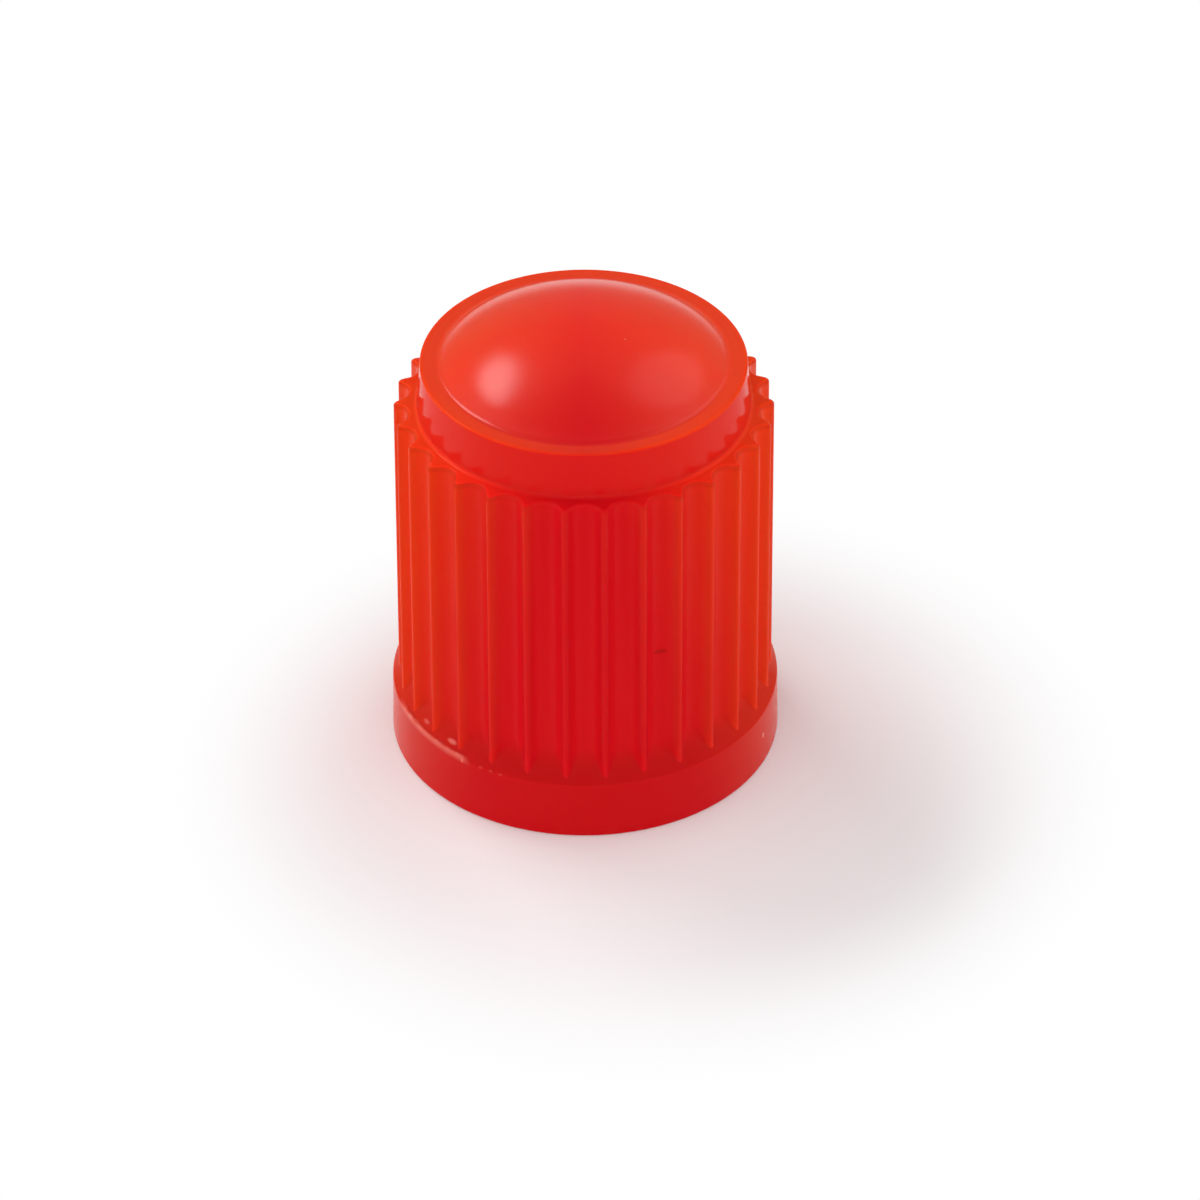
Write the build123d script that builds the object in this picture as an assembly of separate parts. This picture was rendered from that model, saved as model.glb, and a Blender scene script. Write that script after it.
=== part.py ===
from build123d import *

import os
from math import asin, cos, radians, sin, sqrt, tan

# Tyre valve cap, moulded in one piece. It stands on its open mouth: the origin is the
# centre of the mouth and +Z runs up the axis to the crown. Millimetres and degrees.

# Valve stem that the cap screws onto
stem_diameter = 7.75
stem_clearance = 0.055

# Inside: threaded wall, sealing seat and the recess over the valve pin
thread_length = 7.9
mouth_chamfer = 0.3
seat_width = 1.13
crown_wall = 1.0

# Ribbed barrel
barrel_wall = 0.44
rib_count = 30
rib_height = 0.35
rib_apex_angle = 60.0
rib_land = 0.1
rib_draft = 0.15

# Collar round the mouth, with the sloping ledge that the ribs run down to
collar_step = 0.18
collar_height = 1.55
collar_draft = 1.0
ledge_angle = 45.0

# Flat shoulder above the ribs
seat_to_shoulder = 1.6
rib_top_chamfer = 0.1

# Neck, flat rim and crown
neck_step = 0.25
neck_height = 1.23
neck_draft = 4.0
neck_fillet = 0.12
rim_width = 0.48
rim_edge_radius = 0.11
crown_height = 0.97
crown_overhang = 0.75
crown_turn = 0.65
crown_fillet = 0.08

# Radii, from the bore outwards
bore_radius = stem_diameter / 2 + stem_clearance
recess_radius = bore_radius - seat_width
floor_radius = bore_radius + barrel_wall
crest_radius = floor_radius + rib_height
collar_radius = crest_radius + collar_step
neck_radius = floor_radius - neck_step
rim_radius = neck_radius - neck_height * tan(radians(neck_draft))
crown_radius = rim_radius - rim_width

# Crown: a flat ellipse that would reach past the foot by the overhang, drawn as two tangent
# arcs that meet at the turn, a share of the crown's radius
crown_girth = crown_radius + crown_overhang
crown_rise = crown_height / (1 - sqrt(1 - (crown_radius / crown_girth) ** 2))
turn_radius = crown_radius * crown_turn
turn_drop = crown_rise * (1 - sqrt(1 - (turn_radius / crown_girth) ** 2))
crown_sphere = (turn_radius**2 + turn_drop**2) / (2 * turn_drop)

# Heights, from the mouth upwards
seat_z = mouth_chamfer + thread_length
shoulder_z = seat_z + seat_to_shoulder
rim_z = shoulder_z + neck_height
top_z = rim_z + crown_height
crown_centre_z = top_z - crown_sphere


def revolved(outline: Curve) -> Part:
    """Turn a closed half section, drawn as radius and height, about the cap's axis."""
    return revolve(Plane.XZ * make_face(outline), Axis.Z)


def rounded(outline: Curve, corners: list[tuple[float, float, float]]) -> Sketch:
    """Face of an outline with the corners at the given radius and height filleted."""
    face = make_face(outline)
    for radius, height, fillet_radius in corners:
        corner = face.vertices().sort_by_distance((radius, height, 0))[0]
        face = fillet(corner, fillet_radius)
    return face


def barrel_blank() -> Part:
    """Barrel, shoulder, neck, rim and crown before the flutes, rooted in the collar."""
    root_z = collar_height / 2
    chamfer_z = shoulder_z - rib_top_chamfer
    edge_radius = crest_radius - (chamfer_z - root_z) * tan(radians(rib_draft))
    crown_mid = turn_radius / 2
    crown_mid_z = crown_centre_z + sqrt(crown_sphere**2 - crown_mid**2)
    turn = (turn_radius, top_z - turn_drop)
    slope = (turn[1] - crown_centre_z, -turn_radius)
    side = Polyline(
        (0, top_z),
        (0, root_z),
        (crest_radius, root_z),
        (edge_radius, chamfer_z),
        (edge_radius - rib_top_chamfer, shoulder_z),
        (neck_radius, shoulder_z),
        (rim_radius, rim_z),
        (crown_radius, rim_z),
    )
    crown = ThreePointArc((0, top_z), (crown_mid, crown_mid_z), turn)
    crown_side = TangentArc(turn, (crown_radius, rim_z), tangent=slope)
    corners = [
        (neck_radius, shoulder_z, neck_fillet),
        (rim_radius, rim_z, rim_edge_radius),
        (crown_radius, rim_z, crown_fillet),
    ]
    return revolve(Plane.XZ * rounded(side + crown + crown_side, corners), Axis.Z)


def fluted_bar() -> Part:
    """Bar of the barrel's full section: round flutes between straight-sided, pointed ribs.

    A flute is drawn on the X axis and patterned from the Y axis. Its arc is tangent to
    both flanks and to the floor radius, and the flanks run on to a point outside the
    crest radius, so that the barrel's own surface leaves a narrow land on each rib.
    """
    half_pitch = radians(180 / rib_count)
    half_apex = radians(rib_apex_angle / 2)
    lean = half_apex + half_pitch
    land_angle = half_pitch - asin(rib_land / 2 / crest_radius)
    land_x = crest_radius * cos(land_angle)
    land_y = crest_radius * sin(land_angle)
    reach = (floor_radius - land_x) * sin(lean) + land_y * cos(lean)
    flute_radius = reach / (1 - sin(lean))
    centre_x = floor_radius + flute_radius
    foot_x = centre_x - flute_radius * sin(lean)
    foot_y = flute_radius * cos(lean)
    tip_radius = crest_radius + rib_land / 2 / tan(half_apex)
    tip = (tip_radius * cos(half_pitch), tip_radius * sin(half_pitch))

    flute = ThreePointArc((foot_x, -foot_y), (floor_radius, 0), (foot_x, foot_y))
    flank_up = Line((foot_x, foot_y), tip)
    flank_down = Line((tip[0], -tip[1]), (foot_x, -foot_y))
    pitch = [flank_down, flute, flank_up]
    places = PolarLocations(0, rib_count, start_angle=90)
    section = Curve() + [place * edge for place in places for edge in pitch]
    return extrude(make_face(section), top_z)


def collar_ring() -> Part:
    """Collar with its drafted wall and the cone of the ledge, solid to the axis."""
    edge_radius = collar_radius - collar_height * tan(radians(collar_draft))
    ledge_z = collar_height + (edge_radius - bore_radius) * tan(radians(ledge_angle))
    outline = Polyline(
        (0, 0),
        (collar_radius, 0),
        (edge_radius, collar_height),
        (bore_radius, ledge_z),
        (0, ledge_z),
        close=True,
    )
    return revolved(outline)


def cavity() -> Part:
    """Mouth chamfer, threaded wall, sealing seat and the domed recess above it."""
    ceiling_sphere = crown_sphere - crown_wall
    spring_z = crown_centre_z + sqrt(ceiling_sphere**2 - recess_radius**2)
    ceiling_mid = recess_radius / 2
    ceiling_mid_z = crown_centre_z + sqrt(ceiling_sphere**2 - ceiling_mid**2)
    ceiling_z = crown_centre_z + ceiling_sphere
    wall = Polyline(
        (0, ceiling_z),
        (0, 0),
        (bore_radius + mouth_chamfer, 0),
        (bore_radius, mouth_chamfer),
        (bore_radius, seat_z),
        (recess_radius, seat_z),
        (recess_radius, spring_z),
    )
    ceiling = ThreePointArc((recess_radius, spring_z), (ceiling_mid, ceiling_mid_z), (0, ceiling_z))
    return revolved(wall + ceiling)


ribbed_barrel = barrel_blank() & fluted_bar()
valve_cap = ribbed_barrel + collar_ring() - cavity()

os.makedirs("parts", exist_ok=True)
export_step(valve_cap, "parts/valve_cap.step")
print("valve_cap volume", round(valve_cap.volume, 2), "box", valve_cap.bounding_box().size)
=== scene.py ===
"""Tyre valve cap, moulded in one piece of red plastic, on a plain studio floor.

Sizes are in millimetres and degrees. Meshes, lamps and the camera are in metres, in the
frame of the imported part: the origin is the centre of the open mouth, +Z runs up the axis.
"""

import logging
from dataclasses import dataclass
from enum import Enum
from functools import partial, reduce
from math import asin, ceil, cos, pi, radians, sin, sqrt, tan

import bpy
from mathutils import Matrix, Vector

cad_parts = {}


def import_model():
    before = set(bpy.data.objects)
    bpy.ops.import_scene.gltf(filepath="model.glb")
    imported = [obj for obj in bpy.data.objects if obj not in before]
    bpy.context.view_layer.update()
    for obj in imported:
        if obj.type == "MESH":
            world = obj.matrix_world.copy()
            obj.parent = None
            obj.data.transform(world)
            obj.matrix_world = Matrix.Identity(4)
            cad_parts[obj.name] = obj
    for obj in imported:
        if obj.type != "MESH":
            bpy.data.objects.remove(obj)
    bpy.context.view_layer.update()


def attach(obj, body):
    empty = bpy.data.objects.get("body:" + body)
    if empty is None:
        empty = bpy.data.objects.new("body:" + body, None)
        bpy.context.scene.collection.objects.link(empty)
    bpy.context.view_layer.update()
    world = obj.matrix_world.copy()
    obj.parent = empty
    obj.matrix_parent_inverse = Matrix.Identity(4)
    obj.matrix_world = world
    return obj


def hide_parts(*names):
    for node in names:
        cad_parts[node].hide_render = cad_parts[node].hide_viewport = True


LOG = logging.getLogger("valve_cap")
MM = 0.001
BODY = "root"
CAD_NODE = "valve_cap"
RIB_SHARE = "rib_share"
FLASH_SHARE = "flash_share"

# Ridge of the thread, in shares of the pitch: half its width at the foot, and one flank
THREAD_HALF_FOOT = 0.4375
THREAD_FLANK = 0.3125

# Ragged edge of the flash: waves to a rib, their detail and the height that is added to them
FLASH_WAVES = 4.0
FLASH_DETAIL = 2.0
FLASH_ADDED = 0.35

Colour = tuple[float, float, float]
Point = tuple[float, float]
Span = tuple[float, float]
Socket = bpy.types.NodeSocket
Feed = object


class InputKind(Enum):
    """Kinds of input that a node group takes."""

    SHAPE = "NodeSocketGeometry"
    COUNT = "NodeSocketInt"
    NUMBER = "NodeSocketFloat"
    FINISH = "NodeSocketMaterial"


class MarkKind(Enum):
    """What a small mark on the plastic looks like."""

    PALE = "pale"
    DARK = "dark"


class NodeSketch:
    """Short calls that add and link the nodes of one tree."""

    def __init__(self, tree: bpy.types.NodeTree) -> None:
        """Keep the tree that the nodes go into."""
        self.tree = tree

    def feed(self, socket: Socket, value: Feed) -> None:
        """Give a socket another node's output, or a plain value.

        Args:
            socket: input that is fed.
            value: output socket to link, or the value to set.
        """
        if isinstance(value, Socket):
            self.tree.links.new(value, socket)
        else:
            socket.default_value = value

    def add(self, kind: str, inputs: dict | None = None, **settings: Feed) -> bpy.types.Node:
        """Add one node.

        Args:
            kind: identifier of the node's type.
            inputs: what each input socket, by name or index, is fed with.
            settings: properties of the node itself.

        Returns:
            The new node.
        """
        node = self.tree.nodes.new(kind)
        for name, value in settings.items():
            setattr(node, name, value)
        for key, value in (inputs or {}).items():
            self.feed(node.inputs[key], value)
        return node

    def math(self, operation: str, *terms: Feed) -> Socket:
        """Add a Math node on the given terms and return its output."""
        return self.add("ShaderNodeMath", dict(enumerate(terms)), operation=operation).outputs[0]

    def whole(self, operation: str, *terms: Feed) -> Socket:
        """Add an Integer Math node on the given terms and return its output."""
        node = self.add("FunctionNodeIntegerMath", dict(enumerate(terms)), operation=operation)
        return node.outputs[0]

    def blend(self, share: Feed, start: Feed, end: Feed) -> Socket:
        """Mix of two numbers, the start at share 0 and the end at share 1."""
        node = self.add("ShaderNodeMix", {"Factor": share, 2: start, 3: end}, data_type="FLOAT")
        return node.outputs[0]

    def ramp(self, value: Feed, low: Feed, high: Feed) -> Socket:
        """Smooth step of a value from 0 at low to 1 at high."""
        node = self.add(
            "ShaderNodeMapRange",
            {"Value": value, "From Min": low, "From Max": high},
            interpolation_type="SMOOTHSTEP",
        )
        return node.outputs["Result"]

    def product(self, *terms: Feed) -> Feed:
        """Product of all the terms."""
        return reduce(partial(self.math, "MULTIPLY"), terms)

    def scaled(self, value: Feed, factor: Feed, start: Feed) -> Socket:
        """Sum of a start and a value times a factor."""
        return self.math("MULTIPLY_ADD", value, factor, start)

    def vector(self, operation: str, *terms: Feed) -> bpy.types.Node:
        """Add a Vector Math node on the given terms."""
        return self.add("ShaderNodeVectorMath", dict(enumerate(terms)), operation=operation)

    def attribute(self, name: str) -> Socket:
        """Value of a named attribute in a shader."""
        return self.add("ShaderNodeAttribute", attribute_name=name).outputs["Fac"]

    def step(self, length: Feed, span: Span) -> Socket:
        """Smooth step of a length in metres over a span in millimetres."""
        return self.ramp(length, span[0] * MM, span[1] * MM)

    def band(self, length: Feed, rise: Span, fall: Span) -> Socket:
        """Soft band of a length in metres between two spans in millimetres."""
        return self.product(self.step(length, rise), self.step(length, fall))

    def tint(self, share: Feed, start: Feed, end: Feed) -> Socket:
        """Mix of two colours, the start at share 0 and the end at share 1."""
        node = self.add("ShaderNodeMix", {"Factor": share, 6: start, 7: end}, data_type="RGBA")
        return node.outputs[2]

    def noise(self, where: Socket, size: float, detail: float) -> Socket:
        """Noise whose features have a size in millimetres."""
        inputs = {"Vector": where, "Scale": 1 / (size * MM), "Detail": detail}
        return self.add("ShaderNodeTexNoise", inputs).outputs["Fac"]


@dataclass(frozen=True)
class Corner:
    """Corner of a half section, with the fillet that rounds it.

    Attributes:
        radius: distance from the axis.
        height: height over the mouth.
        fillet: radius of the rounding, 0 for a plain point.
        steps: straight steps that the rounding has.
    """

    radius: float
    height: float
    fillet: float = 0.0
    steps: int = 5


def rounded_path(corners: list[Corner], support: float) -> list[Point]:
    """Points of a half section with its corners rounded.

    Args:
        corners: corners in order, the first and last without a fillet.
        support: distance of an extra point on each side of a rounding.

    Returns:
        Radius and height of each point.
    """
    points: list[Point] = []
    for index, corner in enumerate(corners):
        here = Vector((corner.radius, corner.height))
        if corner.fillet == 0:
            points.append(tuple(here))
            continue
        before = corners[index - 1]
        after = corners[index + 1]
        back = (Vector((before.radius, before.height)) - here).normalized()
        ahead = (Vector((after.radius, after.height)) - here).normalized()
        half_turn = back.angle(ahead) / 2
        reach = corner.fillet / tan(half_turn)
        centre = here + (back + ahead).normalized() * corner.fillet / sin(half_turn)
        first = (here + back * reach - centre).normalized()
        last = (here + ahead * reach - centre).normalized()
        points.append(tuple(here + back * (reach + support)))
        for step in range(corner.steps + 1):
            points.append(tuple(centre + first.slerp(last, step / corner.steps) * corner.fillet))
        points.append(tuple(here + ahead * (reach + support)))
    return points


@dataclass(frozen=True)
class Mark:
    """Small mark on the plastic, or a painted glint.

    Attributes:
        place: centre, in the part's frame.
        size: reach in each direction.
        kind: what it looks like.
        strength: how much of the plastic's own colour it hides.
    """

    place: tuple[float, float, float]
    size: tuple[float, float, float]
    kind: MarkKind
    strength: float = 1.0


@dataclass(frozen=True)
class MouldedPlastic:
    """Semi-gloss red plastic as it comes out of the mould, with faint flow, small marks, and
    painted light and shade.

    Heights are over the mouth and radii from the axis. A span runs from where a mask is 0 to
    where it is 1.
    """

    name: str = "moulded_red_plastic"
    # Colour, painted light: a shaded red that drifts to a lit red with the distance aside, back
    # and up, with faint random flow
    shaded_red: Colour = (0.675, 0.0045, 0.010)
    lit_red: Colour = (0.86, 0.052, 0.008)
    painted_light_drift: tuple[float, float, float] = (0.122, 0.061, 0.035)
    lit_leans: Span = (0.08, 1.0)
    flow_size: float = 2.5
    flow_detail: float = 3.0
    flow_shift: float = 0.15
    # Collar and rib crests: painted shade dims the crests above the collar and the collar itself,
    # less at the crests' feet; a painted highlight warms the crests
    collar_heights: Span = (2.4, 1.7)
    collar_painted_shade: float = 0.16
    crest_shares: Span = (0.3, 0.9)
    crest_heights: Span = (9.80, 9.72)
    crest_relief: float = 0.7
    crest_painted_shade: float = 0.12
    crest_painted_highlight: float = 0.16
    # Shoulder and the rounded edge below it, at the sides of the cap: painted light on the
    # shoulder, painted shade on the edge
    side_reach: Span = (0.0, 3.5)
    shoulder_rise: Span = (9.78, 9.80)
    shoulder_fall: Span = (9.88, 9.82)
    shoulder_painted_light: float = 0.27
    edge_rise: Span = (9.64, 9.72)
    edge_fall: Span = (9.795, 9.775)
    edge_painted_shade: float = 0.11
    # Neck, whose painted light is evened towards one level, and its gloss
    neck_rise: Span = (9.80, 9.88)
    neck_fall: Span = (11.01, 10.93)
    neck_evenness: float = 0.65
    neck_painted_light: float = 0.27
    neck_roughness: float = 0.09
    neck_specular: float = 0.11
    neck_side_reach: Span = (2.8, 3.9)
    neck_side_specular: float = 0.03
    # Rim with painted light, and polished crown with painted light towards the back
    rim_radii: Span = (3.60, 3.70)
    rim_heights: Span = (10.97, 11.03)
    rim_painted_light: float = 0.35
    crown_radii: Span = (3.98, 3.90)
    crown_heights: Span = (10.87, 10.95)
    crown_specular: float = 0.28
    lift_radii: Span = (3.70, 3.55)
    lift_depths: Span = (-3.4, 1.0)
    crown_painted_light: float = 0.21
    # Shine and depth
    roughness: float = 0.19
    roughness_spread: float = 0.05
    body_specular: float = 0.08
    body_tint: Colour = (1.0, 0.75, 0.35)
    crown_tint: Colour = (1.0, 1.0, 1.0)
    translucency: float = 1.0
    scatter_depth: float = 0.08
    scatter_share: Colour = (1.0, 0.3, 0.2)
    # Fine grain, and streaks along the axis
    grain_size: float = 0.07
    grain_detail: float = 2.0
    grain_depth: float = 0.002
    streak_size: float = 0.12
    streak_detail: float = 1.0
    streak_stretch: float = 0.02
    streak_depth: float = 0.002
    # Small marks, two painted glints, and the flash, whose pale line is partly a painted
    # highlight
    pale_mark_and_glint: Colour = (0.86, 0.28, 0.22)
    dark_mark: Colour = (0.50, 0.003, 0.005)
    mark_core: float = 0.4
    flash_whitening_and_highlight: float = 0.5
    marks: tuple[Mark, ...] = (
        Mark((1.011, -0.421, 11.912), (0.04, 0.04, 0.04), MarkKind.PALE),
        Mark((-2.492, -3.747, 4.805), (0.06, 0.09, 0.05), MarkKind.PALE),
        Mark((3.925, -2.490, 4.290), (0.05, 0.08, 0.04), MarkKind.PALE),
        Mark((4.476, -1.945, 0.877), (0.06, 0.08, 0.10), MarkKind.PALE),
        # these two are painted glints in pockets by the flash, not marks
        Mark((-3.331, -3.273, 1.750), (0.20, 0.20, 0.06), MarkKind.PALE, 0.55),
        Mark((-3.978, -2.447, 1.750), (0.16, 0.16, 0.05), MarkKind.PALE, 0.35),
        Mark((-3.080, -3.770, 1.560), (0.06, 0.06, 0.12), MarkKind.PALE, 0.6),
        Mark((-2.620, -4.100, 1.560), (0.09, 0.06, 0.04), MarkKind.PALE, 0.15),
        Mark((-2.370, -4.250, 1.560), (0.07, 0.05, 0.04), MarkKind.PALE, 0.15),
        Mark((-2.130, -4.380, 1.550), (0.09, 0.05, 0.04), MarkKind.PALE, 0.15),
        Mark((1.843, -3.962, 5.065), (0.24, 0.24, 0.09), MarkKind.DARK),
    )

    def material(self) -> bpy.types.Material:
        """Build the material.

        Returns:
            Material of one Principled shader fed by object coordinates.
        """
        made = bpy.data.materials.new(self.name)
        made.use_nodes = True
        made.node_tree.nodes.clear()
        PlasticTree(self, made.node_tree).build()
        return made


class PlasticTree(NodeSketch):
    """Shader tree of the plastic, with a mask for each place whose finish or painted light and
    shade differs.
    """

    def __init__(self, finish: MouldedPlastic, tree: bpy.types.NodeTree) -> None:
        """Build the masks.

        Args:
            finish: values of the plastic.
            tree: tree that the nodes go into.
        """
        super().__init__(tree)
        self.finish = finish
        self.where = self.add("ShaderNodeTexCoord").outputs["Object"]
        self.flow = self.noise(self.where, finish.flow_size, finish.flow_detail)
        place = self.add("ShaderNodeSeparateXYZ", {0: self.where}).outputs
        height = place["Z"]
        aside = self.math("ABSOLUTE", place["X"])
        self.ways = (aside, place["Y"], height)
        level = self.vector("MULTIPLY", self.where, (1, 1, 0)).outputs[0]
        radius = self.vector("LENGTH", level).outputs["Value"]
        self.on_collar = self.step(height, finish.collar_heights)
        self.on_side = self.step(aside, finish.side_reach)
        self.on_shoulder = self.band(height, finish.shoulder_rise, finish.shoulder_fall)
        self.on_edge = self.band(height, finish.edge_rise, finish.edge_fall)
        self.on_neck = self.band(height, finish.neck_rise, finish.neck_fall)
        self.on_neck_side = self.step(aside, finish.neck_side_reach)
        self.on_crest = self.product(
            self.ramp(self.attribute(RIB_SHARE), *finish.crest_shares),
            self.step(height, finish.crest_heights),
        )
        self.on_rim = self.product(
            self.step(radius, finish.rim_radii), self.step(height, finish.rim_heights)
        )
        self.on_crown = self.product(
            self.step(radius, finish.crown_radii), self.step(height, finish.crown_heights)
        )
        # where painted light lightens the back of the crown
        self.on_crown_back = self.product(
            self.on_crown,
            self.step(place["Y"], finish.lift_depths),
            self.step(radius, finish.lift_radii),
        )

    def _marked(self, kind: MarkKind) -> Socket:
        """Share of each point that marks of one kind cover.

        Args:
            kind: which marks are taken.

        Returns:
            Mask from 0 to 1.
        """
        mask: Feed = 0.0
        for mark in self.finish.marks:
            if mark.kind is not kind:
                continue
            place = self.add(
                "ShaderNodeMapping",
                {
                    "Vector": self.where,
                    "Location": [-x / s for x, s in zip(mark.place, mark.size)],
                    "Scale": [1 / (s * MM) for s in mark.size],
                },
            )
            away = self.vector("LENGTH", place.outputs[0]).outputs["Value"]
            spot = self.ramp(away, 1.0, self.finish.mark_core)
            mask = self.math("MAXIMUM", mask, self.product(spot, mark.strength))
        return mask

    def _lit_share(self) -> Socket:
        """Share of the lit red at each point, which is painted light, with faint random flow.

        Returns:
            Share from 0 to 1.
        """
        finish = self.finish
        lean = self.scaled(self.flow, finish.flow_shift, -finish.flow_shift / 2)
        # painted light: the colour lightens and warms with the distance aside, back and up
        for way, share in zip(self.ways, finish.painted_light_drift):
            lean = self.scaled(way, share / MM, lean)
        # painted light on the rim
        lean = self.scaled(self.on_rim, finish.rim_painted_light, lean)
        # painted highlight along the rib crests
        lean = self.scaled(self.on_crest, finish.crest_painted_highlight, lean)
        # the painted light on the neck is evened towards one level
        even = self.product(self.on_neck, finish.neck_evenness)
        lean = self.blend(even, lean, finish.neck_painted_light)
        return self.ramp(lean, *finish.lit_leans)

    def _painted_light_and_shade(self) -> Socket:
        """How strong the colour is at each point, with painted light and shade.

        Returns:
            1 for the plain colour, less where painted shade dims it and more where painted light
            lifts it.
        """
        finish = self.finish
        # painted shade: the crests dimmed above the collar, and the collar dimmed, less at the
        # crests' feet
        off_crest = self.scaled(self.on_crest, -finish.crest_relief, 1.0)
        shaded = self.blend(
            self.on_collar,
            self.product(self.on_crest, finish.crest_painted_shade),
            self.product(off_crest, finish.collar_painted_shade),
        )
        kept = self.math("SUBTRACT", 1.0, shaded)
        # painted light on the back of the crown
        kept = self.scaled(self.on_crown_back, finish.crown_painted_light, kept)
        # painted light on the shoulder and painted shade on the edge below it, at the sides
        shift = self.product(self.on_shoulder, finish.shoulder_painted_light)
        shift = self.scaled(self.on_edge, -finish.edge_painted_shade, shift)
        return self.scaled(self.on_side, shift, kept)

    def _tone(self) -> Socket:
        """Colour of the plastic, with its painted light and shade, marks, painted glints and
        flash.

        Returns:
            Colour at each point.
        """
        finish = self.finish
        tone = self.tint(self._lit_share(), (*finish.shaded_red, 1), (*finish.lit_red, 1))
        tone = self.add(
            "ShaderNodeVectorMath", {0: tone, "Scale": self._painted_light_and_shade()}, operation="SCALE"
        ).outputs[0]
        # the flash's pale line is partly whitened flash and partly a painted highlight on the
        # collar edge; the pale marks include painted glints
        flash = self.product(self.attribute(FLASH_SHARE), finish.flash_whitening_and_highlight)
        pale = self.math("MAXIMUM", self._marked(MarkKind.PALE), flash)
        tone = self.tint(self._marked(MarkKind.DARK), tone, (*finish.dark_mark, 1))
        return self.tint(pale, tone, (*finish.pale_mark_and_glint, 1))

    def _relief(self) -> Socket:
        """Bump of the streaks along the axis, with the grain over them.

        Returns:
            Normal at each point.
        """
        finish = self.finish
        drawn = self.add(
            "ShaderNodeMapping",
            {"Vector": self.where, "Scale": (1.0, 1.0, finish.streak_stretch)},
        ).outputs[0]
        layers = (
            (self.noise(drawn, finish.streak_size, finish.streak_detail), finish.streak_depth),
            (self.noise(self.where, finish.grain_size, finish.grain_detail), finish.grain_depth),
        )
        below: dict = {}
        for bumps, depth in layers:
            inputs = {"Strength": 1.0, "Distance": depth * MM, "Height": bumps, **below}
            below = {"Normal": self.add("ShaderNodeBump", inputs).outputs[0]}
        return below["Normal"]

    def build(self) -> None:
        """Feed the shader."""
        finish = self.finish
        rough = self.scaled(self.flow, finish.roughness_spread, finish.roughness)
        rough = self.blend(self.on_neck, rough, finish.neck_roughness)
        neck = self.blend(self.on_neck_side, finish.neck_specular, finish.neck_side_specular)
        specular = self.blend(self.on_neck, finish.body_specular, neck)
        specular = self.blend(self.on_crown, specular, finish.crown_specular)
        tint = self.tint(self.on_crown, (*finish.body_tint, 1), (*finish.crown_tint, 1))
        shader = self.add(
            "ShaderNodeBsdfPrincipled",
            {
                "Base Color": self._tone(),
                "Roughness": rough,
                "Specular IOR Level": specular,
                "Specular Tint": tint,
                "Subsurface Weight": finish.translucency,
                "Subsurface Radius": finish.scatter_share,
                "Subsurface Scale": finish.scatter_depth * MM,
                "Normal": self._relief(),
            },
        )
        self.add("ShaderNodeOutputMaterial", {"Surface": shader.outputs[0]})


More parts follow.
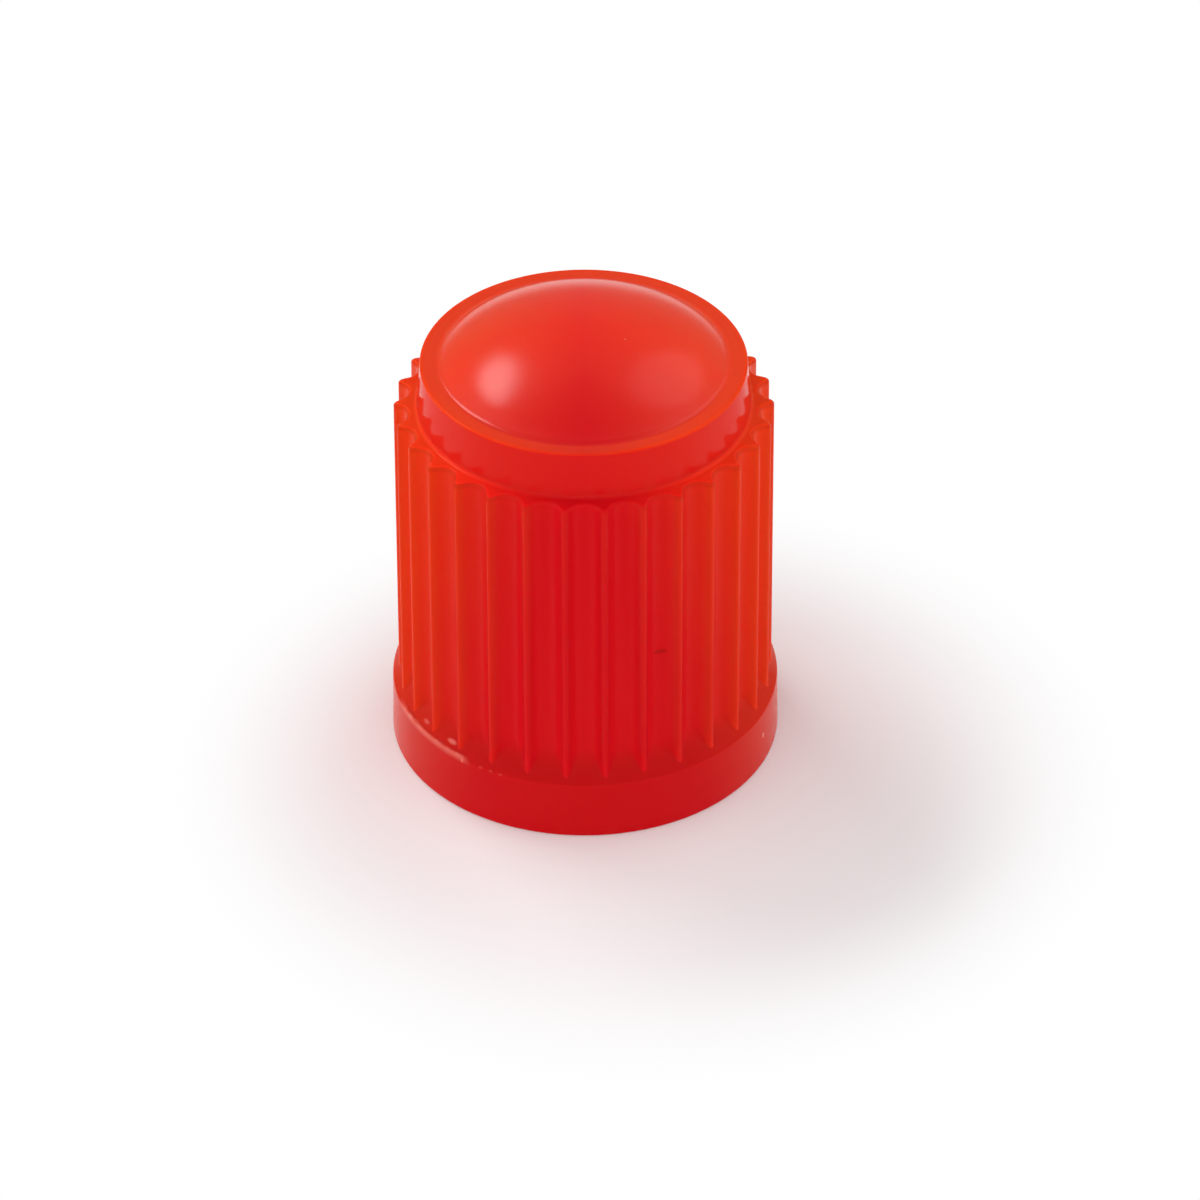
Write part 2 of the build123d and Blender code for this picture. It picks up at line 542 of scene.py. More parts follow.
@dataclass
class ValveCap:
    """Cap moulded in one piece, built as a half section turned round the axis.

    The section is drawn twice, through a flute and through a rib, and the rib rule blends
    the two round the barrel. A helical wall with the thread fills the bore.
    """

    name: str = "moulded_cap"
    finish: MouldedPlastic = MouldedPlastic()
    # Bore, seat and recess
    bore_radius: float = 3.93
    mouth_chamfer: float = 0.3
    seat_height: float = 8.2
    seat_width: float = 1.13
    ceiling_height: float = 11.0
    ceiling_radius: float = 6.85
    inner_edge: float = 0.05
    # Thread inside the bore
    thread_pitch: float = 25.4 / 32
    thread_depth: float = 0.40
    thread_start: float = 0.55
    thread_runout: float = 0.45
    thread_clear_of_seat: float = 0.15
    thread_rows: int = 8
    thread_spare_turns: int = 2
    # Ribbed barrel
    rib_count: int = 30
    floor_radius: float = 4.37
    crest_radius: float = 4.72
    crest_top_radius: float = 4.697
    rib_apex_angle: float = 60.0
    rib_land: float = 0.1
    crest_softness: float = 0.12
    rib_foot: float = 0.05
    flute_foot: float = 0.8
    # Collar and its ledge
    collar_radius: float = 4.9
    collar_height: float = 1.55
    collar_draft: float = 1.0
    collar_edge: float = 0.05
    base_edge: float = 0.05
    ledge_angle: float = 45.0
    # Flash left along the collar's upper edge
    flash_height: float = 0.10
    flash_from: float = -76.0
    flash_to: float = -36.0
    flash_fade: float = 8.0
    flash_band: float = 1.5
    lip_reach: float = 0.10
    # Shoulder, neck, rim and crown
    shoulder_height: float = 9.8
    shoulder_edge: float = 0.1
    neck_radius: float = 4.12
    neck_draft: float = 4.0
    neck_fillet: float = 0.12
    rim_height: float = 11.03
    rim_width: float = 0.48
    rim_edge: float = 0.06
    crown_height: float = 0.97
    crown_girth: float = 3.9
    crown_fillet: float = 0.24
    # Fineness of the mesh
    columns_per_rib: int = 16
    column_crowding: float = 0.55
    dome_rows: int = 22
    barrel_rows: int = 6
    edge_steps: int = 4
    foot_steps: int = 7
    inner_steps: int = 2
    support: float = 0.008
    weld: float = 0.0001
    smooth_angle: float = 38.0

    @property
    def rim_radius(self) -> float:
        """Radius of the rim's outer edge."""
        rise = self.rim_height - self.shoulder_height
        return self.neck_radius - rise * tan(radians(self.neck_draft))

    @property
    def crown_radius(self) -> float:
        """Radius of the foot of the crown."""
        return self.rim_radius - self.rim_width

    @property
    def crown_rise(self) -> float:
        """Upright half axis of the ellipsoid that the crown is cut from."""
        return self.crown_height / (1 - sqrt(1 - (self.crown_radius / self.crown_girth) ** 2))

    @property
    def collar_top_radius(self) -> float:
        """Radius of the collar's upper edge."""
        return self.collar_wall(self.collar_height)

    def collar_wall(self, height: float) -> float:
        """Radius of the collar's outer wall at a height."""
        return self.collar_radius - height * tan(radians(self.collar_draft))

    def ledge_height(self, radius: float) -> float:
        """Height of the sloping ledge at a radius."""
        inward = self.collar_top_radius - radius
        return self.collar_height + inward * tan(radians(self.ledge_angle))

    def dome_points(
        self, top: float, girth: float, rise: float, edge_radius: float
    ) -> list[Corner]:
        """Points from the axis down a dome, with its edge.

        Args:
            top: height of the pole.
            girth: level half axis of the dome.
            rise: upright half axis.
            edge_radius: radius at which the dome ends.

        Returns:
            Plain corners from the pole outwards.
        """
        edge_angle = asin(edge_radius / girth)
        points = []
        for row in range(self.dome_rows + 1):
            angle = edge_angle * row / self.dome_rows
            points.append(Corner(girth * sin(angle), top - rise * (1 - cos(angle))))
        return points

    def outer_corners(self, foot_radius: float, top_radius: float, foot: float) -> list[Corner]:
        """Corners of the outside, from the top of the crown to the bore's lower end.

        Args:
            foot_radius: radius of the barrel where it meets the ledge.
            top_radius: radius of the barrel below the shoulder.
            foot: radius of the rounding at the foot.

        Returns:
            Corners in order.
        """
        foot_height = self.ledge_height(foot_radius)
        drop = foot_height - self.shoulder_height
        barrel = []
        for row in range(1, self.barrel_rows):
            share = row / self.barrel_rows
            radius = top_radius + (foot_radius - top_radius) * share
            barrel.append(Corner(radius, self.shoulder_height + drop * share))
        top = self.rim_height + self.crown_height
        lip_radius = self.collar_top_radius - self.lip_reach
        lip_foot = self.collar_height - self.lip_reach
        return [
            *self.dome_points(top, self.crown_girth, self.crown_rise, self.crown_radius)[:-1],
            Corner(self.crown_radius, self.rim_height, self.crown_fillet, self.edge_steps),
            Corner(self.rim_radius, self.rim_height, self.rim_edge),
            Corner(self.neck_radius, self.shoulder_height, self.neck_fillet),
            Corner(top_radius, self.shoulder_height, self.shoulder_edge),
            *barrel,
            Corner(foot_radius, foot_height, foot, self.foot_steps),
            Corner(lip_radius, self.ledge_height(lip_radius)),
            Corner(self.collar_top_radius, self.collar_height, self.collar_edge, self.edge_steps),
            Corner(self.collar_wall(lip_foot), lip_foot),
            Corner(self.collar_radius, 0.0, self.base_edge, self.edge_steps),
            Corner(self.bore_radius + self.mouth_chamfer, 0.0, self.inner_edge, self.inner_steps),
            Corner(self.bore_radius, self.mouth_chamfer),
        ]

    def inner_corners(self) -> list[Corner]:
        """Corners of the inside, from the top of the thread to the middle of the ceiling.

        Returns:
            Corners in order.
        """
        recess_radius = self.bore_radius - self.seat_width
        ceiling = self.dome_points(
            self.ceiling_height, self.ceiling_radius, self.ceiling_radius, recess_radius
        )
        return [
            Corner(self.bore_radius, self.seat_height - self.thread_clear_of_seat),
            Corner(self.bore_radius, self.seat_height, self.inner_edge, self.inner_steps),
            Corner(recess_radius, self.seat_height, self.inner_edge, self.inner_steps),
            Corner(recess_radius, ceiling[-1].height, self.inner_edge, self.inner_steps),
            *reversed(ceiling[:-1:2]),
        ]

    def section(
        self, foot_radius: float, top_radius: float, foot: float
    ) -> tuple[list[Point], int]:
        """Half section through one place of the barrel.

        Args:
            foot_radius: radius of the barrel where it meets the ledge.
            top_radius: radius of the barrel below the shoulder.
            foot: radius of the rounding at the foot.

        Returns:
            Radius and height of each point, and the row at which the bore's wall is left open.
        """
        outside = rounded_path(self.outer_corners(foot_radius, top_radius, foot), self.support)
        inside = rounded_path(self.inner_corners(), self.support)
        return outside + inside, len(outside) - 1

    def flute_rule(self) -> tuple[float, float, float]:
        """Sizes of a flute that is tangent to both flanks and to the floor.

        Returns:
            Radius of the flute, radius of the flanks' sharp tip, and the angle from the
            middle of the flute at which its arc gives way to the flank.
        """
        half_pitch = pi / self.rib_count
        half_apex = radians(self.rib_apex_angle / 2)
        lean = half_apex + half_pitch
        land_angle = half_pitch - asin(self.rib_land / 2 / self.crest_radius)
        land_x = self.crest_radius * cos(land_angle)
        land_y = self.crest_radius * sin(land_angle)
        reach = (self.floor_radius - land_x) * sin(lean) + land_y * cos(lean)
        flute = reach / (1 - sin(lean))
        foot_x = self.floor_radius + flute * (1 - sin(lean))
        foot_y = flute * cos(lean)
        tip = self.crest_radius + self.rib_land / 2 / tan(half_apex)
        return flute, tip, asin(foot_y / sqrt(foot_x**2 + foot_y**2))

    def section_object(self) -> tuple[bpy.types.Object, int]:
        """Draw the half section as a line mesh that carries both of its forms.

        Returns:
            Object whose points are the section through a flute, with the section through a
            rib and the lip of the collar as attributes, and the row at which the bore's wall
            is left open.
        """
        flute, gap_row = self.section(self.floor_radius, self.floor_radius, self.flute_foot)
        rib, _ = self.section(self.crest_radius, self.crest_top_radius, self.rib_foot)
        mesh = bpy.data.meshes.new(self.name)
        edges = [(row, row + 1) for row in range(len(flute) - 1)]
        mesh.from_pydata([(r * MM, 0.0, z * MM) for r, z in flute], edges, [])
        crest = mesh.attributes.new("rib_section", "FLOAT_VECTOR", "POINT")
        crest.data.foreach_set("vector", [x for r, z in rib for x in (r * MM, 0.0, z * MM)])
        edge = Vector((self.collar_top_radius, self.collar_height))
        band = self.flash_band * self.collar_edge
        near = [(Vector(point) - edge).length < band for point in flute]
        lip = mesh.attributes.new("lip", "FLOAT", "POINT")
        lip.data.foreach_set("value", [float(here) for here in near])
        piece = bpy.data.objects.new(self.name, mesh)
        bpy.context.scene.collection.objects.link(piece)
        return piece, gap_row

    def build(self) -> bpy.types.Object:
        """Turn the half section into the closed cap.

        Returns:
            Object with a plain mesh at the origin.
        """
        piece, gap_row = self.section_object()
        flute, tip, flute_angle = self.flute_rule()
        thread_top = self.seat_height - self.thread_clear_of_seat
        thread_turns = ceil((thread_top - self.mouth_chamfer) / self.thread_pitch)
        sizes = {
            "Ribs": self.rib_count,
            "Columns per Rib": self.columns_per_rib,
            "Column Crowding": self.column_crowding,
            "Gap Row": gap_row,
            "Floor Radius": self.floor_radius * MM,
            "Crest Radius": self.crest_radius * MM,
            "Tip Radius": tip * MM,
            "Flute Radius": flute * MM,
            "Flute Angle": flute_angle,
            "Flank Angle": radians(self.rib_apex_angle / 2),
            "Crest Softness": self.crest_softness * MM,
            "Bore Radius": self.bore_radius * MM,
            "Flash Height": self.flash_height * MM,
            "Flash From": self.flash_from % 360 / 360 * self.rib_count,
            "Flash To": self.flash_to % 360 / 360 * self.rib_count,
            "Flash Fade": self.flash_fade / 360 * self.rib_count,
            "Thread Bottom": self.mouth_chamfer * MM,
            "Thread Top": thread_top * MM,
            "Thread Pitch": self.thread_pitch * MM,
            "Thread Depth": self.thread_depth * MM,
            "Thread Start": self.thread_start * MM,
            "Thread Runout": self.thread_runout * MM,
            "Thread Turns": thread_turns + self.thread_spare_turns,
            "Rows per Turn": self.thread_rows,
            "Weld Distance": self.weld * MM,
            "Smooth Angle": radians(self.smooth_angle),
            "Finish": self.finish.material(),
        }
        tree = MouldingTree(sizes).tree
        modifier = piece.modifiers.new("moulding", "NODES")
        modifier.node_group = tree
        for socket in tree.interface.items_tree:
            if socket.in_out == "INPUT" and socket.name in sizes:
                modifier[socket.identifier] = sizes[socket.name]
        piece.update_tag()
        bpy.context.view_layer.update()
        evaluated = piece.evaluated_get(bpy.context.evaluated_depsgraph_get())
        mesh = bpy.data.meshes.new_from_object(evaluated)
        piece.modifiers.remove(modifier)
        drawn = piece.data
        piece.data = mesh
        bpy.data.meshes.remove(drawn)
        mesh.name = self.name
        return piece

    def dress(self, piece: bpy.types.Object) -> None:
        """Tie the piece to the frame.

        Args:
            piece: the finished cap.
        """
        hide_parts(CAD_NODE)
        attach(piece, BODY)


class MouldingTree(NodeSketch):
    """Geometry Nodes tree that turns a half section into a ribbed cap with a threaded bore."""

    def __init__(self, sizes: dict) -> None:
        """Build the tree.

        Args:
            sizes: name and value of each input; whole numbers are counts.
        """
        super().__init__(bpy.data.node_groups.new("ribbed_moulding", "GeometryNodeTree"))
        self._input("Half Section", InputKind.SHAPE)
        for name, value in sizes.items():
            if isinstance(value, bpy.types.Material):
                self._input(name, InputKind.FINISH)
            elif isinstance(value, int):
                self._input(name, InputKind.COUNT)
            else:
                self._input(name, InputKind.NUMBER)
        self.tree.interface.new_socket("Cap", in_out="OUTPUT", socket_type=InputKind.SHAPE.value)
        self.given = self.add("NodeGroupInput").outputs
        self.columns = self.whole("MULTIPLY", self.given["Ribs"], self.given["Columns per Rib"])
        self.rib_pitch = self.math("DIVIDE", 2 * pi, self.given["Ribs"])
        self._close(self._section_wall(), self._thread_wall())

    def _input(self, name: str, kind: InputKind) -> None:
        """Declare one named input of the tree."""
        self.tree.interface.new_socket(name, in_out="INPUT", socket_type=kind.value)

    def _grid(self, rows: Feed) -> tuple[Socket, Socket, Socket]:
        """Grid with one line of points for each column round the axis.

        Args:
            rows: points in each line.

        Returns:
            The grid, and each point's row and column.
        """
        across = self.whole("ADD", self.columns, 1)
        grid = self.add("GeometryNodeMeshGrid", {"Vertices X": across, "Vertices Y": rows})
        index = self.add("GeometryNodeInputIndex").outputs[0]
        row = self.whole("MODULO", index, rows)
        column = self.whole("DIVIDE_FLOOR", index, rows)
        return grid.outputs["Mesh"], row, column

    def _phase(self, column: Socket) -> tuple[Socket, Socket]:
        """Place of a column among the ribs, with the columns crowded towards the crests.

        Args:
            column: number of the column.

        Returns:
            Ribs passed since the first flute, and the part of a pitch since the last flute.
        """
        place = self.math("DIVIDE", column, self.given["Columns per Rib"])
        passed = self.math("FLOOR", place)
        part = self.math("FRACT", place)
        wave = self.math("SINE", self.product(part, 2 * pi))
        swing = self.product(wave, self.given["Column Crowding"])
        shift = self.math("DIVIDE", swing, 2 * pi)
        part = self.math("ADD", part, shift)
        return self.math("ADD", passed, part), part

    def _rib_weight(self, part: Socket) -> Socket:
        """Share of the rib section in the pitch: round flute, straight flank, soft crest.

        Args:
            part: part of a pitch since the middle of the last flute.

        Returns:
            0 at the flute's floor and 1 at the crest radius.
        """
        given = self.given
        mirrored = self.math("MINIMUM", part, self.math("SUBTRACT", 1.0, part))
        angle = self.product(mirrored, self.rib_pitch)
        centre = self.math("ADD", given["Floor Radius"], given["Flute Radius"])
        side = self.product(centre, self.math("SINE", angle))
        flute = given["Flute Radius"]
        rest = self.math("SUBTRACT", self.product(flute, flute), self.product(side, side))
        depth = self.math("SQRT", self.math("MAXIMUM", rest, 0.0))
        arc = self.math("SUBTRACT", self.product(centre, self.math("COSINE", angle)), depth)
        from_rib = self.math("SUBTRACT", self.product(self.rib_pitch, 0.5), angle)
        opened = self.math("SINE", self.math("ADD", given["Flank Angle"], from_rib))
        tip = self.product(given["Tip Radius"], self.math("SINE", given["Flank Angle"]))
        flank = self.math("DIVIDE", tip, opened)
        in_flute = self.math("LESS_THAN", angle, given["Flute Angle"])
        choice = {"Switch": in_flute, "False": flank, "True": arc}
        wall = self.add("GeometryNodeSwitch", choice, input_type="FLOAT").outputs[0]
        wall = self.math("SMOOTH_MIN", wall, given["Crest Radius"], given["Crest Softness"])
        rise = self.math("SUBTRACT", wall, given["Floor Radius"])
        full = self.math("SUBTRACT", given["Crest Radius"], given["Floor Radius"])
        return self.math("DIVIDE", rise, full)

    def _turned(self, ribs_passed: Socket, radius: Feed, height: Feed) -> Socket:
        """Point at a radius and height, turned round the axis from the flute that faces -Y.

        Args:
            ribs_passed: angle, in rib pitches.
            radius: distance from the axis.
            height: height over the mouth.

        Returns:
            Position.
        """
        angle = self.math("SUBTRACT", self.product(ribs_passed, self.rib_pitch), pi / 2)
        return self.add(
            "ShaderNodeCombineXYZ",
            {
                "X": self.product(radius, self.math("COSINE", angle)),
                "Y": self.product(radius, self.math("SINE", angle)),
                "Z": height,
            },
        ).outputs[0]

    def _flash(self, ribs_passed: Socket) -> Socket:
        """Ragged share of the flash's full height at a place round the collar.

        Args:
            ribs_passed: angle, in rib pitches.

        Returns:
            0 outside the stretch that has flash.
        """
        given = self.given
        grown = self.math("ADD", given["Flash From"], given["Flash Fade"])
        half_fade = self.math("DIVIDE", given["Flash Fade"], 2.0)
        spent = self.math("SUBTRACT", given["Flash To"], half_fade)
        stretch = self.product(
            self.ramp(ribs_passed, given["Flash From"], grown),
            self.ramp(ribs_passed, given["Flash To"], spent),
        )
        ragged = self.add(
            "ShaderNodeTexNoise",
            {"W": ribs_passed, "Scale": FLASH_WAVES, "Detail": FLASH_DETAIL},
            noise_dimensions="1D",
        ).outputs[0]
        return self.product(stretch, self.math("ADD", ragged, FLASH_ADDED))

    def _named(self, name: str, kind: str) -> Socket:
        """Named attribute of the drawn section."""
        node = self.add("GeometryNodeInputNamedAttribute", {"Name": name}, data_type=kind)
        return node.outputs["Attribute"]

    def _sampled(self, value: Socket, kind: str, row: Socket) -> Socket:
        """Value at one row of the drawn section."""
        inputs = {"Geometry": self.given["Half Section"], "Value": value, "Index": row}
        return self.add("GeometryNodeSampleIndex", inputs, data_type=kind).outputs[0]

    def _section_wall(self) -> Socket:
        """Outside, mouth, seat and recess, with the bore's wall left open.

        Returns:
            Geometry of the turned section.
        """
        drawn = {0: self.given["Half Section"]}
        rows = self.add("GeometryNodeAttributeDomainSize", drawn).outputs["Point Count"]
        grid, row, column = self._grid(rows)
        ribs_passed, part = self._phase(column)
        position = self.add("GeometryNodeInputPosition").outputs[0]
        flute = self._sampled(position, "FLOAT_VECTOR", row)
        rib = self._sampled(self._named("rib_section", "FLOAT_VECTOR"), "FLOAT_VECTOR", row)
        lip = self._sampled(self._named("lip", "FLOAT"), "FLOAT", row)
        mixed = self.add(
            "ShaderNodeMix",
            {"Factor": self._rib_weight(part), 4: flute, 5: rib},
            data_type="VECTOR",
            clamp_factor=False,
        ).outputs[1]
        place = self.add("ShaderNodeSeparateXYZ", {0: mixed}).outputs
        flute_radius = self.add("ShaderNodeSeparateXYZ", {0: flute}).outputs["X"]
        rib_height = self.math("SUBTRACT", self.given["Crest Radius"], self.given["Floor Radius"])
        outward = self.math("SUBTRACT", place["X"], flute_radius)
        rib_share = self.math("DIVIDE", outward, rib_height)
        flash = self.product(lip, self._flash(ribs_passed))
        height = self.scaled(flash, self.given["Flash Height"], place["Z"])
        wall: Socket = grid
        for name, share in ((RIB_SHARE, rib_share), (FLASH_SHARE, flash)):
            wall = self.add(
                "GeometryNodeStoreNamedAttribute",
                {"Geometry": wall, "Name": name, "Value": share},
                data_type="FLOAT",
                domain="POINT",
            ).outputs[0]
        wall = self.add(
            "GeometryNodeSetPosition",
            {"Geometry": wall, "Position": self._turned(ribs_passed, place["X"], height)},
        ).outputs[0]
        index = self.add("GeometryNodeInputIndex").outputs[0]
        face_row = self.whole("MODULO", index, self.whole("SUBTRACT", rows, 1))
        in_gap = self.math("COMPARE", face_row, self.given["Gap Row"], 0.5)
        return self.add(
            "GeometryNodeDeleteGeometry", {"Geometry": wall, "Selection": in_gap}, domain="FACE"
        ).outputs[0]

    def _thread_wall(self) -> Socket:
        """Wall of the bore, with rows that follow the right-hand helix of the thread.

        Returns:
            Geometry of the wall.
        """
        given = self.given
        rows = self.whole("MULTIPLY", given["Thread Turns"], given["Rows per Turn"])
        grid, row, column = self._grid(rows)
        ribs_passed, _ = self._phase(column)
        climb = self.math("DIVIDE", row, given["Rows per Turn"])
        part = self.math("FRACT", climb)
        turned = self.math("DIVIDE", ribs_passed, given["Ribs"])
        turns = self.math("ADD", self.math("SUBTRACT", climb, 1.0), turned)
        height = self.scaled(turns, given["Thread Pitch"], given["Thread Bottom"])
        height = self.math("MAXIMUM", height, given["Thread Bottom"])
        height = self.math("MINIMUM", height, given["Thread Top"])
        off_crest = self.math("ABSOLUTE", self.math("SUBTRACT", part, 0.5))
        ridge = self.math("SUBTRACT", THREAD_HALF_FOOT, off_crest)
        ridge = self.math("DIVIDE", ridge, THREAD_FLANK)
        ridge = self.math("MINIMUM", self.math("MAXIMUM", ridge, 0.0), 1.0)
        low = self.math("ADD", given["Thread Bottom"], given["Thread Start"])
        low_end = self.math("SUBTRACT", low, given["Thread Runout"])
        high_end = self.math("SUBTRACT", given["Thread Top"], given["Thread Runout"])
        fade = self.product(
            self.ramp(height, low_end, low),
            self.ramp(height, given["Thread Top"], high_end),
        )
        inward = self.product(ridge, fade, given["Thread Depth"])
        radius = self.math("SUBTRACT", given["Bore Radius"], inward)
        return self.add(
            "GeometryNodeSetPosition",
            {"Geometry": grid, "Position": self._turned(ribs_passed, radius, height)},
        ).outputs[0]

    def _close(self, section: Socket, thread: Socket) -> None:
        """Join the walls, weld their seams and poles, turn the faces outward and add the finish.

        Args:
            section: the turned section.
            thread: the bore's wall, whose faces come out the same way round.
        """
        join = self.add("GeometryNodeJoinGeometry")
        for wall in (section, thread):
            self.tree.links.new(wall, join.inputs[0])
        shape = self.add(
            "GeometryNodeMergeByDistance",
            {"Geometry": join.outputs[0], "Distance": self.given["Weld Distance"]},
        ).outputs[0]
        shape = self.add("GeometryNodeFlipFaces", {"Mesh": shape}).outputs[0]
        bend = self.add("GeometryNodeInputMeshEdgeAngle").outputs["Unsigned Angle"]
        gentle = self.math("LESS_THAN", bend, self.given["Smooth Angle"])
        for domain, smooth in (("FACE", True), ("EDGE", gentle)):
            inputs = {"Geometry": shape, "Shade Smooth": smooth}
            shape = self.add("GeometryNodeSetShadeSmooth", inputs, domain=domain).outputs[0]
        shape = self.add("GeometryNodeRealizeInstances", {"Geometry": shape}).outputs[0]
        shape = self.add(
            "GeometryNodeSetMaterial", {"Geometry": shape, "Material": self.given["Finish"]}
        ).outputs[0]
        self.add("NodeGroupOutput", {"Cap": shape})


@dataclass(frozen=True)
class StudioLamp:
    """Soft lamp with an oblong face, turned to the cap.

    Attributes:
        name: name of the lamp.
        towards: direction from the cap to the lamp.
        along: direction that the long side of its face follows.
        distance: distance from the cap, in metres.
        length: long side of its face, in metres.
        width: short side of its face, in metres.
        power: power in watts.
    """

    name: str
    towards: tuple[float, float, float]
    along: tuple[float, float, float]
    distance: float
    length: float
    width: float
    power: float

    def build(self) -> bpy.types.Object:
        """Add the lamp.

        Returns:
            The lamp, in its place.
        """
        data = bpy.data.lights.new(self.name, "AREA")
        data.shape = "ELLIPSE"
        data.size = self.length
        data.size_y = self.width
        data.energy = self.power
        lamp = bpy.data.objects.new(self.name, data)
        bpy.context.scene.collection.objects.link(lamp)
        away = Vector(self.towards).normalized()
        side = away.cross(Vector(self.along)).normalized()
        frame = Matrix((side.cross(away), side, away)).transposed().to_4x4()
        frame.translation = away * self.distance
        lamp.matrix_world = frame
        return lamp


@dataclass(frozen=True)
class PlainFloor:
    """Pale floor, matt and one-sided, open under the cap's mouth so that its inside is lit.

    It looks plain white away from the cap, so that the background is white.
    """

    name: str = "studio_floor"
    colour: Colour = (0.98, 0.975, 0.98)
    grey_within: float = 6.5
    white_beyond: float = 12.5
    grey_centre: Point = (1.6, -2.5)
    reach: float = 600.0
    opening: float = 4.8
    drop: float = 0.01
    segments: int = 96

    def material(self) -> bpy.types.Material:
        """Build the matt finish, clear from below.

        Returns:
            Material of the floor.
        """
        made = bpy.data.materials.new(self.name)
        made.use_nodes = True
        made.node_tree.nodes.clear()
        sketch = NodeSketch(made.node_tree)
        matt = sketch.add("ShaderNodeBsdfDiffuse", {"Color": (*self.colour, 1)})
        white = sketch.add("ShaderNodeEmission", {"Color": (1, 1, 1, 1), "Strength": 1.0})
        clear = sketch.add("ShaderNodeBsdfTransparent")
        where = sketch.add("ShaderNodeTexCoord").outputs["Object"]
        centre = [x * MM for x in (*self.grey_centre, 0)]
        away = sketch.vector("DISTANCE", where, centre).outputs["Value"]
        far = sketch.step(away, (self.grey_within, self.white_beyond))
        path = sketch.add("ShaderNodeLightPath").outputs
        seen = sketch.math("MAXIMUM", path["Is Camera Ray"], path["Is Glossy Ray"])
        seen = sketch.math("MAXIMUM", seen, path["Is Transmission Ray"])
        above = sketch.add(
            "ShaderNodeMixShader",
            {0: sketch.product(far, seen), 1: matt.outputs[0], 2: white.outputs[0]},
        )
        below = sketch.add("ShaderNodeNewGeometry").outputs["Backfacing"]
        both = sketch.add(
            "ShaderNodeMixShader", {0: below, 1: above.outputs[0], 2: clear.outputs[0]}
        )
        sketch.add("ShaderNodeOutputMaterial", {"Surface": both.outputs[0]})
        return made

    def build(self) -> bpy.types.Object:
        """Build the floor as a flat ring.

        Returns:
            The floor.
        """
        points = []
        faces = []
        for step in range(self.segments):
            angle = 2 * pi * step / self.segments
            for radius in (self.opening, self.reach):
                place = (radius * cos(angle), radius * sin(angle), -self.drop)
                points.append([x * MM for x in place])
            here = 2 * step
            ahead = 2 * ((step + 1) % self.segments)
            faces.append((here, here + 1, ahead + 1, ahead))
        mesh = bpy.data.meshes.new(self.name)
        mesh.from_pydata(points, [], faces)
        mesh.materials.append(self.material())
        floor = bpy.data.objects.new(self.name, mesh)
        bpy.context.scene.collection.objects.link(floor)
        return floor


@dataclass(frozen=True)
class StudioRoom:
    """Soft surroundings: bright in front and at the sides, dim behind and overhead.

    Levels are strengths of the light. A turn is the span, in a part of the direction, over
    which one level gives way to the next.
    """

    name: str = "studio_room"
    front: float = 1.30
    left: float = 1.36
    right: float = 1.18
    back: float = 0.34
    ceiling: float = 0.24
    side_turn: Span = (-0.6, 0.6)
    front_turn: Span = (0.0, -0.8)
    back_turn: Span = (0.0, 0.8)
    back_top_turn: Span = (0.1, 0.6)
    wall_turn: Span = (0.97, 0.65)

    def build(self) -> bpy.types.World:
        """Build the surroundings.

        Returns:
            The scene's world.
        """
        world = bpy.data.worlds.new(self.name)
        world.use_nodes = True
        world.node_tree.nodes.clear()
        sketch = NodeSketch(world.node_tree)
        facing = sketch.add("ShaderNodeTexCoord").outputs["Generated"]
        facing = sketch.add("ShaderNodeSeparateXYZ", {0: facing}).outputs
        rightward = sketch.ramp(facing["X"], *self.side_turn)
        forward = sketch.ramp(facing["Y"], *self.front_turn)
        behind = sketch.ramp(facing["Y"], *self.back_turn)
        back_top = sketch.ramp(facing["Z"], *self.back_top_turn)
        low = sketch.ramp(facing["Z"], *self.wall_turn)
        level = sketch.blend(rightward, self.left, self.right)
        level = sketch.blend(forward, level, self.front)
        back = sketch.blend(back_top, self.back, self.ceiling)
        level = sketch.blend(behind, level, back)
        level = sketch.blend(low, self.ceiling, level)
        light = sketch.add("ShaderNodeBackground", {"Color": (1, 1, 1, 1), "Strength": level})
        sketch.add("ShaderNodeOutputWorld", {"Surface": light.outputs[0]})
        bpy.context.scene.world = world
        return world


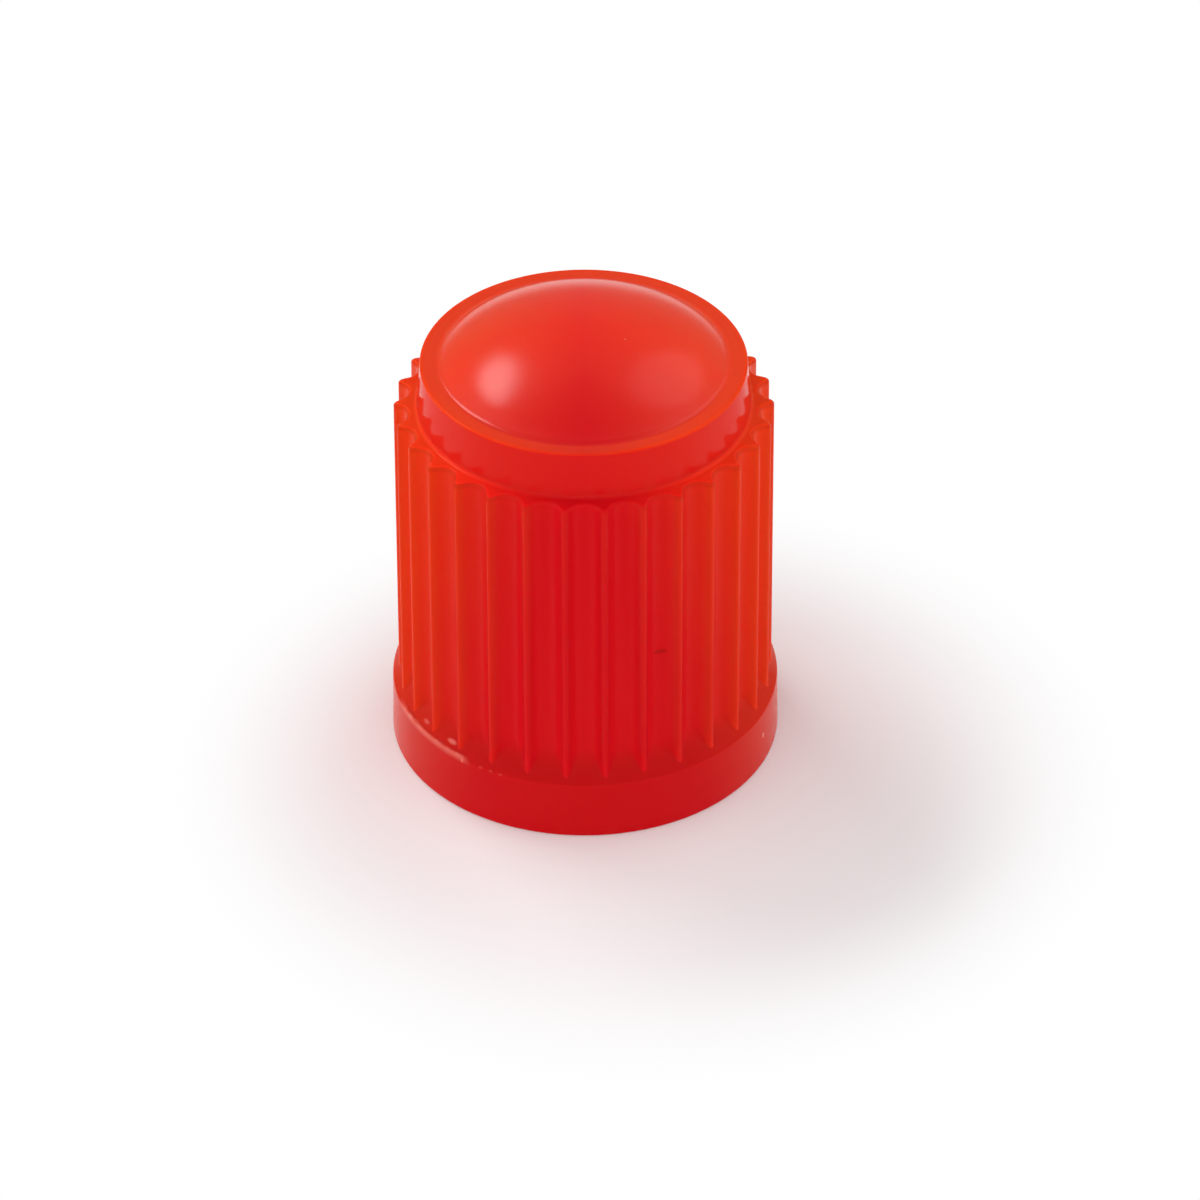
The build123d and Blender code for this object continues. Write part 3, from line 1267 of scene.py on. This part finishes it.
@dataclass(frozen=True)
class PhotoCamera:
    """Camera at the photograph's angle, aimed close to the middle of the cap.

    Attributes:
        distance: distance from the aim point, in millimetres.
        elevation: angle above the floor.
        pan: turn about the picture's upright.
        tilt: turn about the picture's level.
        roll: turn about the line of sight.
        focal: focal length as a share of the picture's width.
        aim_height: height of the aim point, in millimetres.
        sensor: width of the sensor, in millimetres.
        clip: nearest and farthest distance that is seen, in metres.
    """

    distance: float = 169.6
    elevation: float = 35.95
    pan: float = -0.128
    tilt: float = -0.625
    roll: float = 0.27
    focal: float = 5.655
    aim_height: float = 6.0
    sensor: float = 36.0
    clip: Span = (0.01, 10.0)

    def build(self) -> bpy.types.Object:
        """Add the camera and make it the scene's own.

        Returns:
            The camera.
        """
        rise = radians(self.elevation)
        ahead = Vector((0, cos(rise), -sin(rise)))
        right = Vector((1, 0, 0))
        place = Vector((0, 0, self.aim_height)) - ahead * self.distance
        turn = Matrix.Rotation(radians(self.pan), 3, right.cross(ahead))
        ahead = turn @ ahead
        right = turn @ right
        ahead = Matrix.Rotation(radians(self.tilt), 3, right) @ ahead
        right = Matrix.Rotation(radians(self.roll), 3, ahead) @ right
        above = right.cross(ahead)
        data = bpy.data.cameras.new("photo_camera")
        data.sensor_fit = "HORIZONTAL"
        data.sensor_width = self.sensor
        data.lens = self.focal * self.sensor
        data.clip_start, data.clip_end = self.clip
        camera = bpy.data.objects.new("photo_camera", data)
        bpy.context.scene.collection.objects.link(camera)
        frame = Matrix((right, above, -ahead)).transposed().to_4x4()
        frame.translation = place * MM
        camera.matrix_world = frame
        bpy.context.scene.camera = camera
        return camera


@dataclass(frozen=True)
class Studio:
    """Floor, lamps, surroundings and camera."""

    floor: PlainFloor = PlainFloor()
    room: StudioRoom = StudioRoom()
    camera: PhotoCamera = PhotoCamera()
    lamps: tuple[StudioLamp, ...] = (
        StudioLamp(
            name="left_lamp",
            towards=(-0.440, 0.455, 0.774),
            along=(-0.475, -0.833, 0.28),
            distance=0.25,
            length=0.13,
            width=0.058,
            power=0.135,
        ),
        StudioLamp(
            name="right_lamp",
            towards=(0.445, 0.455, 0.771),
            along=(0.0, -0.83, 0.56),
            distance=0.25,
            length=0.17,
            width=0.13,
            power=0.05,
        ),
    )

    def build(self) -> None:
        """Build everything round the cap."""
        bpy.context.scene.view_settings.view_transform = "Standard"
        self.floor.build()
        self.room.build()
        for lamp in self.lamps:
            lamp.build()
        self.camera.build()


def main() -> None:
    """Load the frame, build the cap on it and set up the studio."""
    logging.basicConfig(level=logging.INFO, format="%(name)s: %(message)s")
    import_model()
    cap = ValveCap()
    piece = cap.build()
    cap.dress(piece)
    mesh = piece.data
    LOG.info("%s: %d points, %d faces", piece.name, len(mesh.vertices), len(mesh.polygons))
    Studio().build()
    LOG.info("studio ready")


if __name__ == "__main__":
    main()
